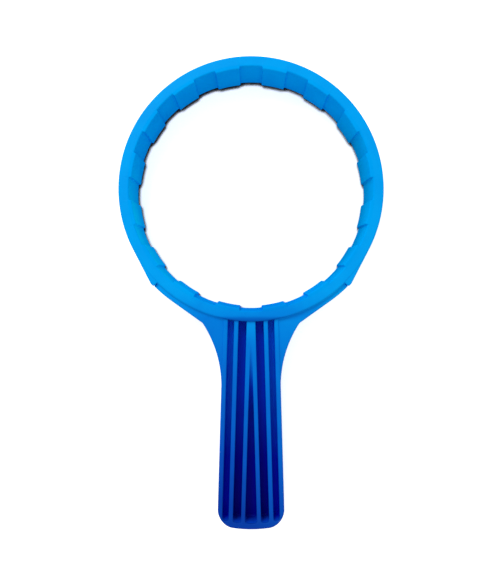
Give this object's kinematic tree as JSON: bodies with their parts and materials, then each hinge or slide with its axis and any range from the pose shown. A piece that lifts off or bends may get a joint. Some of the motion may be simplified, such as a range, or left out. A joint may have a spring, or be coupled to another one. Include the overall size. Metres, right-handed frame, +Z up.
{
  "type": "filter housing wrench",
  "caption": "One-piece plastic ring wrench with gripping pads round its bore and a flared, ribbed handle, for turning the bowl of a water filter housing.",
  "frame": {"origin": "on the ring's axis, in the plane of the ring's lower face", "axes": "+Z up along the ring's axis, +Y from the handle towards the ring, +X to the right with the handle towards the viewer"},
  "size_m": [0.1332, 0.2382, 0.021],
  "materials": {
    "blue_plastic": "moulded, semi-gloss"
  },
  "bodies": {
    "root": {"wrench": "blue_plastic"}
  },
  "joints": []
}
